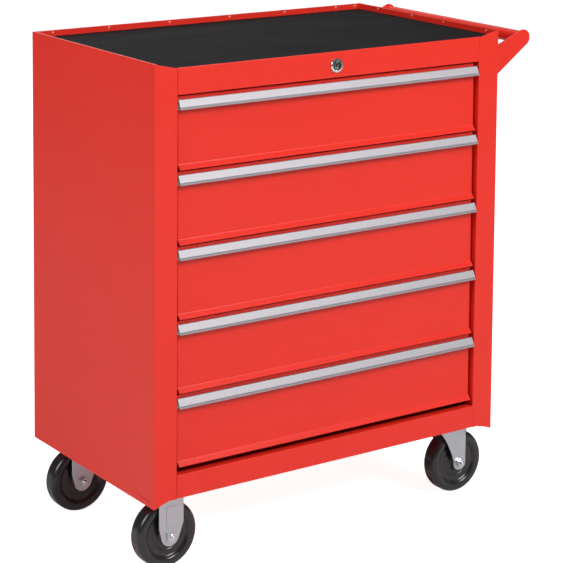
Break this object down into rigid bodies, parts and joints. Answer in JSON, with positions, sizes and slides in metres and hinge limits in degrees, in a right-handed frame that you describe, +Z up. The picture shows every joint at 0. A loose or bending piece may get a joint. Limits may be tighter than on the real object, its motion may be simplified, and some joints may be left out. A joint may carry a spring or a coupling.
{
  "type": "tool cart",
  "caption": "Steel roller tool cabinet with stacked full-width drawers on slides, a lock, a rimmed tray top with a mat, a side push handle and rigid and swivel casters.",
  "frame": {"origin": "on the floor, under the middle of the whole cart's bounding box, handle and pulls included", "axes": "+Z up, -Y to the front where the drawers open, +X to the side with the push handle"},
  "size_m": [0.703, 0.3702, 0.756],
  "materials": {
    "red_paint": "semi-gloss red powder coat",
    "zinc": "bright zinc plate",
    "pull_aluminium": "satin extruded aluminium",
    "lock_chrome": "polished chrome",
    "black_mat": "matt black textured mat",
    "wheel_black": "glossy black moulded plastic"
  },
  "bodies": {
    "cabinet": {"side_panel_left": "red_paint", "rear_upright_left": "zinc", "side_panel_right": "red_paint", "rear_upright_right": "zinc", "back_panel": "red_paint", "top_panel": "red_paint", "top_rail": "red_paint", "bottom_panel": "red_paint", "bottom_rail": "red_paint", "top_mat": "black_mat", "handle_tube": "red_paint", "lock_housing": "lock_chrome", "handle_bracket_front": "red_paint", "handle_bracket_rear": "red_paint", "slide_fixed_1_left": "zinc", "slide_fixed_1_right": "zinc", "slide_fixed_2_left": "zinc", "slide_fixed_2_right": "zinc", "slide_fixed_3_left": "zinc", "slide_fixed_3_right": "zinc", "slide_fixed_4_left": "zinc", "slide_fixed_4_right": "zinc", "slide_fixed_5_left": "zinc", "slide_fixed_5_right": "zinc", "rigid_bracket_front": "zinc", "axle_left_front": "zinc", "swivel_plate_front": "zinc", "rigid_bracket_rear": "zinc", "axle_left_rear": "zinc", "swivel_plate_rear": "zinc"},
    "drawer_1": {"drawer_1": "red_paint", "drawer_pull_1": "pull_aluminium", "slide_moving_1_left": "zinc", "slide_moving_1_right": "zinc"},
    "drawer_2": {"drawer_2": "red_paint", "drawer_pull_2": "pull_aluminium", "slide_moving_2_left": "zinc", "slide_moving_2_right": "zinc"},
    "drawer_3": {"drawer_3": "red_paint", "drawer_pull_3": "pull_aluminium", "slide_moving_3_left": "zinc", "slide_moving_3_right": "zinc"},
    "drawer_4": {"drawer_4": "red_paint", "drawer_pull_4": "pull_aluminium", "slide_moving_4_left": "zinc", "slide_moving_4_right": "zinc"},
    "drawer_5": {"drawer_5": "red_paint", "drawer_pull_5": "pull_aluminium", "slide_moving_5_left": "zinc", "slide_moving_5_right": "zinc"},
    "lock_cylinder": {"lock_cylinder": "lock_chrome"},
    "lock_bar": {"lock_bar": "zinc"},
    "swivel_front": {"swivel_fork_front": "zinc", "axle_right_front": "zinc"},
    "wheel_left_front": {"wheel_left_front": "wheel_black"},
    "wheel_right_front": {"wheel_right_front": "wheel_black"},
    "swivel_rear": {"swivel_fork_rear": "zinc", "axle_right_rear": "zinc"},
    "wheel_left_rear": {"wheel_left_rear": "wheel_black"},
    "wheel_right_rear": {"wheel_right_rear": "wheel_black"}
  },
  "joints": [
    {"name": "drawer_1_slide", "type": "slide", "parent": "cabinet", "child": "drawer_1", "axis": [0, -1, 0], "range_m": [0, 0.21]},
    {"name": "drawer_2_slide", "type": "slide", "parent": "cabinet", "child": "drawer_2", "axis": [0, -1, 0], "range_m": [0, 0.21]},
    {"name": "drawer_3_slide", "type": "slide", "parent": "cabinet", "child": "drawer_3", "axis": [0, -1, 0], "range_m": [0, 0.21]},
    {"name": "drawer_4_slide", "type": "slide", "parent": "cabinet", "child": "drawer_4", "axis": [0, -1, 0], "range_m": [0, 0.21]},
    {"name": "drawer_5_slide", "type": "slide", "parent": "cabinet", "child": "drawer_5", "axis": [0, -1, 0], "range_m": [0, 0.21]},
    {"name": "lock_turn", "type": "hinge", "parent": "cabinet", "child": "lock_cylinder", "pos_m": [-0.03525, -0.1799, 0.7274], "axis": [0, 1, 0], "range_deg": [0, 90]},
    {"name": "lock_bar_slide", "type": "slide", "parent": "cabinet", "child": "lock_bar", "axis": [0, 0, -1], "range_m": [0, 0.012]},
    {"name": "swivel_front_turn", "type": "hinge", "parent": "cabinet", "child": "swivel_front", "pos_m": [0.22325, -0.1279, 0.11], "axis": [0, 0, 1], "continuous": true},
    {"name": "wheel_left_front_spin", "type": "hinge", "parent": "cabinet", "child": "wheel_left_front", "pos_m": [-0.30275, -0.1279, 0.05], "axis": [0, 1, 0], "continuous": true},
    {"name": "wheel_right_front_spin", "type": "hinge", "parent": "swivel_front", "child": "wheel_right_front", "pos_m": [0.24325, -0.1279, 0.05], "axis": [0, 1, 0], "continuous": true},
    {"name": "swivel_rear_turn", "type": "hinge", "parent": "cabinet", "child": "swivel_rear", "pos_m": [0.22325, 0.1331, 0.11], "axis": [0, 0, 1], "continuous": true},
    {"name": "wheel_left_rear_spin", "type": "hinge", "parent": "cabinet", "child": "wheel_left_rear", "pos_m": [-0.30275, 0.1331, 0.05], "axis": [0, 1, 0], "continuous": true},
    {"name": "wheel_right_rear_spin", "type": "hinge", "parent": "swivel_rear", "child": "wheel_right_rear", "pos_m": [0.24325, 0.1331, 0.05], "axis": [0, 1, 0], "continuous": true}
  ],
  "couplings": [
    {"joint": "lock_turn", "follows": "lock_bar_slide", "rad_per_m": 128}
  ]
}
